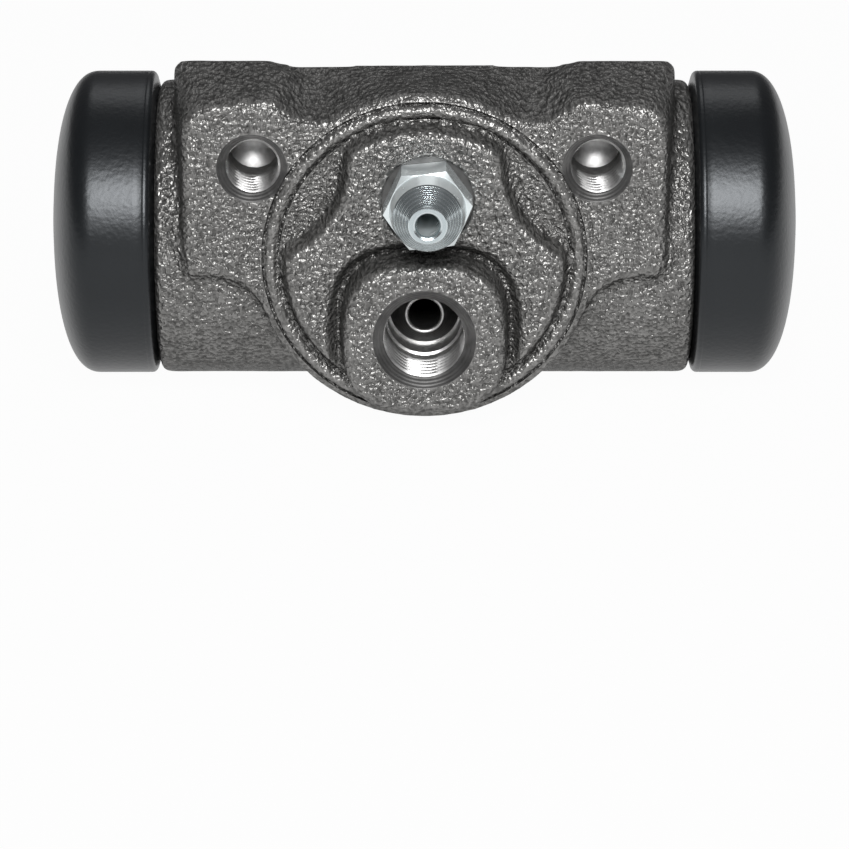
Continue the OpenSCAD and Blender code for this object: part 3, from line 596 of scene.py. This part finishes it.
stem = turned_on_face("stem", [
    (0, SEAT_END), (SEAT_END_R, SEAT_END), (RELIEF_R, SEAT_BACK), (RELIEF_R, RELIEF_BACK),
    (SHANK_R, SHANK_BACK), (SHANK_R, bulb_root), (BULB_R, bulb_root), (BULB_R, HEX_FRONT - 0.1 * MM),
    (BULB_R - RING_STEP, HEX_FRONT - 0.2 * MM)] + cone + [
    (TIP_R, TIP_FRONT + TIP_LENGTH), (TIP_R, TIP_FRONT + 0.3 * MM),
    (TIP_R - 0.04 * MM, TIP_FRONT + 0.14 * MM), (TIP_R - 0.14 * MM, TIP_FRONT + 0.04 * MM),
    (TIP_R - 0.3 * MM, TIP_FRONT), (0, TIP_FRONT)],
    BLEED_X, BLEED_Z, 96)
cut(bleed_screw, stem, "UNION")
cut(bleed_screw, turned_on_face("bleed_passage", [
    (0, TIP_FRONT - OVERCUT), (BLEED_R + 0.55 * MM, TIP_FRONT - OVERCUT), (BLEED_R + 0.4 * MM, TIP_FRONT),
    (BLEED_R + 0.15 * MM, TIP_FRONT + 0.12 * MM), (BLEED_R, TIP_FRONT + 0.4 * MM), (BLEED_R, CROSS_Y),
    (0, CROSS_Y + 0.8 * MM)], BLEED_X, BLEED_Z, 64))
pick()
bpy.ops.mesh.primitive_cylinder_add(vertices=32, radius=CROSS_R, depth=CROSS_LENGTH,
                                    location=(BLEED_X, CROSS_Y, BLEED_Z), rotation=(0, math.pi / 2, 0))
cross_drill = bpy.context.object
bpy.ops.object.transform_apply(location=True, rotation=True, scale=True)
cut(bleed_screw, cross_drill)

zinc, tree, bsdf = finish_of("zinc_plate")
place = put(tree, "ShaderNodeTexCoord").outputs["Object"]
cloud = put(tree, "ShaderNodeTexNoise", {"Scale": 500, "Detail": 4, "Roughness": 0.6})
scuff = put(tree, "ShaderNodeTexNoise", {"Scale": 2600, "Detail": 2})
for source in (cloud, scuff):
    tree.links.new(place, source.inputs["Vector"])
bump = put(tree, "ShaderNodeBump", {"Strength": 0.12, "Distance": 0.012 * MM})
tree.links.new(scuff.outputs["Fac"], bump.inputs["Height"])
tree.links.new(bump.outputs["Normal"], bsdf.inputs["Normal"])
colour = ramp(tree, cloud.outputs["Fac"], [(0.3, (0.7, 0.755, 0.765)), (0.7, (0.8, 0.85, 0.86))])
tree.links.new(colour.outputs["Color"], bsdf.inputs["Base Color"])
gloss = ramp(tree, cloud.outputs["Fac"], [(0.3, (0.28,)), (0.7, (0.2,))])
tree.links.new(gloss.outputs["Color"], bsdf.inputs["Roughness"])
bsdf.inputs["Metallic"].default_value = 0.6
bleed_screw.data.materials.clear()
bleed_screw.data.materials.append(zinc)

turned_zinc, tree, bsdf = finish_of("turned_zinc")
place = put(tree, "ShaderNodeTexCoord").outputs["Object"]
lathe = put(tree, "ShaderNodeTexWave", {"Scale": 700, "Distortion": 0.6, "Detail": 1}, bands_direction="Y")
tree.links.new(place, lathe.inputs["Vector"])
bump = put(tree, "ShaderNodeBump", {"Strength": 0.25, "Distance": 0.012 * MM})
tree.links.new(lathe.outputs["Fac"], bump.inputs["Height"])
tree.links.new(bump.outputs["Normal"], bsdf.inputs["Normal"])
colour = ramp(tree, lathe.outputs["Fac"], [(0.1, (0.52, 0.58, 0.6)), (0.9, (0.68, 0.74, 0.755))])
tree.links.new(colour.outputs["Color"], bsdf.inputs["Base Color"])
bsdf.inputs["Roughness"].default_value = 0.2
bsdf.inputs["Metallic"].default_value = 0.95
bleed_screw.data.materials.append(turned_zinc)
for face in bleed_screw.data.polygons:
    if face.center.y < BULB_FRONT - SKIM:
        face.material_index = 1
pick(bleed_screw)
bpy.ops.object.shade_smooth_by_angle(angle=math.radians(25))
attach(bleed_screw, "bleeder")
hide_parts("bleeder_screw")

# Studio: a plain white floor, a soft light above the camera and a weak one behind.
# The camera stands where the photograph's did, a little above the cylinder.
LENS, DISTANCE, ELEVATION, DROP = 197.17, 0.6, math.radians(18), math.radians(2.5)
FLOOR_SIZE, FLOOR_GLOW = 6, 0.97
pick()
bpy.ops.mesh.primitive_plane_add(size=FLOOR_SIZE, location=(0, 0, cad_box[0][2]))
floor = bpy.context.object
floor.name = "floor"
bpy.ops.object.transform_apply(location=True)
paper, tree, bsdf = finish_of("floor_paper")
bsdf.inputs["Base Color"].default_value = (0.4, 0.4, 0.4, 1)
bsdf.inputs["Roughness"].default_value = 0.9
rays = put(tree, "ShaderNodeLightPath")
seen = put(tree, "ShaderNodeMath", operation="MAXIMUM")
tree.links.new(rays.outputs["Is Camera Ray"], seen.inputs[0])
tree.links.new(rays.outputs["Is Glossy Ray"], seen.inputs[1])
seen_too = put(tree, "ShaderNodeMath", operation="MAXIMUM")
tree.links.new(seen.outputs[0], seen_too.inputs[0])
tree.links.new(rays.outputs["Is Transmission Ray"], seen_too.inputs[1])
share = put(tree, "ShaderNodeMath", operation="MULTIPLY")
tree.links.new(seen_too.outputs[0], share.inputs[0])
share.inputs[1].default_value = FLOOR_GLOW
white = put(tree, "ShaderNodeEmission", {"Color": (1, 1, 1, 1), "Strength": 1.0})
both = put(tree, "ShaderNodeMixShader")
tree.links.new(share.outputs[0], both.inputs["Fac"])
tree.links.new(bsdf.outputs[0], both.inputs[1])
tree.links.new(white.outputs[0], both.inputs[2])
tree.links.new(both.outputs[0], tree.nodes["Material Output"].inputs["Surface"])
floor.data.materials.append(paper)

for name, wide, high, power, azimuth, height, reach in (
    ("key_light", 0.5, 0.5, 10.8, 1.5, 36, 0.9),
    ("back_light", 0.6, 0.4, 0.8, 180, 50, 1.0),
):
    az, el = math.radians(azimuth), math.radians(height)
    bpy.ops.object.light_add(type="AREA", location=(
        reach * math.cos(el) * math.sin(az), BORE_Y - reach * math.cos(el) * math.cos(az),
        reach * math.sin(el)))
    lamp = bpy.context.object
    lamp.name = name
    lamp.data.shape = "ELLIPSE"
    lamp.data.size, lamp.data.size_y = wide, high
    lamp.data.energy = power
    lamp.rotation_euler = (math.pi / 2 - el, 0, az)

world = bpy.data.worlds.new("studio_air")
world.use_nodes = True
world.node_tree.nodes["Background"].inputs["Color"].default_value = (0.1, 0.1, 0.103, 1)
bpy.context.scene.world = world

bpy.ops.object.camera_add(
    location=(0, BORE_Y - DISTANCE * math.cos(ELEVATION), BORE_Z + DISTANCE * math.sin(ELEVATION)),
    rotation=(math.pi / 2 - ELEVATION - DROP, 0, 0))
camera = bpy.context.object
camera.data.lens = LENS
camera.data.sensor_width = 36
camera.data.clip_start = 0.01
bpy.context.scene.camera = camera
bpy.context.scene.view_settings.view_transform = "Standard"
